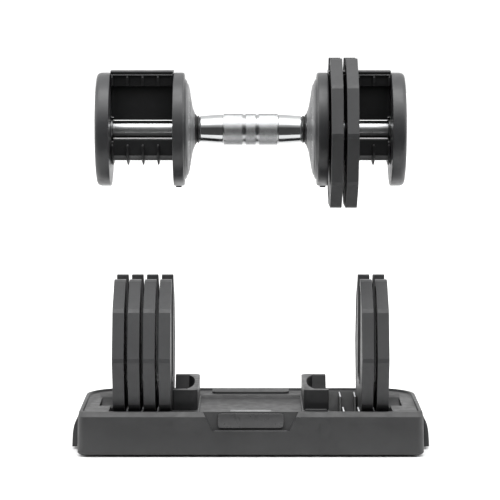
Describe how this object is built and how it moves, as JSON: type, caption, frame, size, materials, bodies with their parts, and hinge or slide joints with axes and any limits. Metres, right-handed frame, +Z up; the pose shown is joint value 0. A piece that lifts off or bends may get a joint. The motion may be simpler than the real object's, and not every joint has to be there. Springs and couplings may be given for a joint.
{
  "type": "adjustable dumbbell",
  "caption": "Adjustable dumbbell with a twist-grip handle, slotted decagonal plates and the storage tray it docks in, handle shown lifted.",
  "frame": {"origin": "centre of the footprint on the surface that the tray stands on", "axes": "+Z up, X along the handle, -Y towards the tray's nameplate side"},
  "size_m": [0.3688, 0.17, 0.4025],
  "materials": {
    "plate_coating": "satin",
    "disc_plastic": "satin",
    "housing_plastic": "satin",
    "dial_plastic": "satin",
    "chrome": "polished",
    "bright_steel": "satin",
    "bush_bronze": "satin",
    "rack_plastic": "satin",
    "tray_plastic": "satin",
    "cradle_plastic": "satin",
    "label_film": "satin",
    "foot_rubber": "matte"
  },
  "bodies": {
    "tray": {"plate_rack_l": "rack_plastic", "plate_rack_r": "rack_plastic", "tray_shell": "tray_plastic", "tray_base": "tray_plastic", "side_hood_l": "tray_plastic", "side_hood_r": "tray_plastic", "cradle_l": "cradle_plastic", "cradle_r": "cradle_plastic", "nameplate_blank": "cradle_plastic", "label_blank": "label_film", "foot_front_l": "foot_rubber", "foot_front_r": "foot_rubber", "foot_back_l": "foot_rubber", "foot_back_r": "foot_rubber"},
    "handle": {"inner_disc_l": "disc_plastic", "outer_disc_l": "disc_plastic", "housing_cover_l": "housing_plastic", "housing_trough_l": "housing_plastic", "outer_bush_l": "bright_steel", "inner_bush_l": "bush_bronze", "plunger_spring_l": "bright_steel", "inner_disc_r": "disc_plastic", "outer_disc_r": "disc_plastic", "housing_cover_r": "housing_plastic", "housing_trough_r": "housing_plastic", "outer_bush_r": "bright_steel", "inner_bush_r": "bush_bronze", "plunger_spring_r": "bright_steel"},
    "grip": {"grip_sleeve": "chrome", "selector_shaft": "chrome", "grip_taper_l": "chrome", "grip_collar_l": "housing_plastic", "weight_dial_l": "dial_plastic", "grip_taper_r": "chrome", "grip_collar_r": "housing_plastic", "weight_dial_r": "dial_plastic"},
    "lock_plunger_l": {"lock_plunger_l": "housing_plastic"},
    "lock_plunger_r": {"lock_plunger_r": "housing_plastic"},
    "plate_l1": {"plate_l1": "plate_coating"},
    "plate_l2": {"plate_l2": "plate_coating"},
    "plate_l3": {"plate_l3": "plate_coating"},
    "plate_l4": {"plate_l4": "plate_coating"},
    "plate_r1": {"plate_r1": "plate_coating"},
    "plate_r2": {"plate_r2": "plate_coating"},
    "plate_r3": {"plate_r3": "plate_coating"},
    "plate_r4": {"plate_r4": "plate_coating"}
  },
  "joints": [
    {"name": "handle_lift", "type": "slide", "parent": "tray", "child": "handle", "axis": [0, 0, 1], "range_m": [-0.2275, 0]},
    {"name": "grip_twist", "type": "hinge", "parent": "handle", "child": "grip", "pos_m": [0, 0, 0.329], "axis": [1, 0, 0], "range_deg": [-72, 72]},
    {"name": "plunger_press_l", "type": "slide", "parent": "handle", "child": "lock_plunger_l", "axis": [0, 0, 1], "range_m": [0, 0.002], "stiffness_N_per_m": 400, "springref_m": -0.002, "deforming": ["plunger_spring_l"]},
    {"name": "plunger_press_r", "type": "slide", "parent": "handle", "child": "lock_plunger_r", "axis": [0, 0, 1], "range_m": [0, 0.002], "stiffness_N_per_m": 400, "springref_m": -0.002, "deforming": ["plunger_spring_r"]},
    {"name": "plate_lift_l1", "type": "slide", "parent": "tray", "child": "plate_l1", "axis": [0, 0, 1], "range_m": [0, 0.2275]},
    {"name": "plate_lift_l2", "type": "slide", "parent": "tray", "child": "plate_l2", "axis": [0, 0, 1], "range_m": [0, 0.2275]},
    {"name": "plate_lift_l3", "type": "slide", "parent": "tray", "child": "plate_l3", "axis": [0, 0, 1], "range_m": [0, 0.2275]},
    {"name": "plate_lift_l4", "type": "slide", "parent": "tray", "child": "plate_l4", "axis": [0, 0, 1], "range_m": [0, 0.2275]},
    {"name": "plate_drop_r1", "type": "slide", "parent": "handle", "child": "plate_r1", "axis": [0, 0, -1], "range_m": [0, 0.2275]},
    {"name": "plate_drop_r2", "type": "slide", "parent": "handle", "child": "plate_r2", "axis": [0, 0, -1], "range_m": [0, 0.2275]},
    {"name": "plate_lift_r3", "type": "slide", "parent": "tray", "child": "plate_r3", "axis": [0, 0, 1], "range_m": [0, 0.2275]},
    {"name": "plate_lift_r4", "type": "slide", "parent": "tray", "child": "plate_r4", "axis": [0, 0, 1], "range_m": [0, 0.2275]}
  ]
}
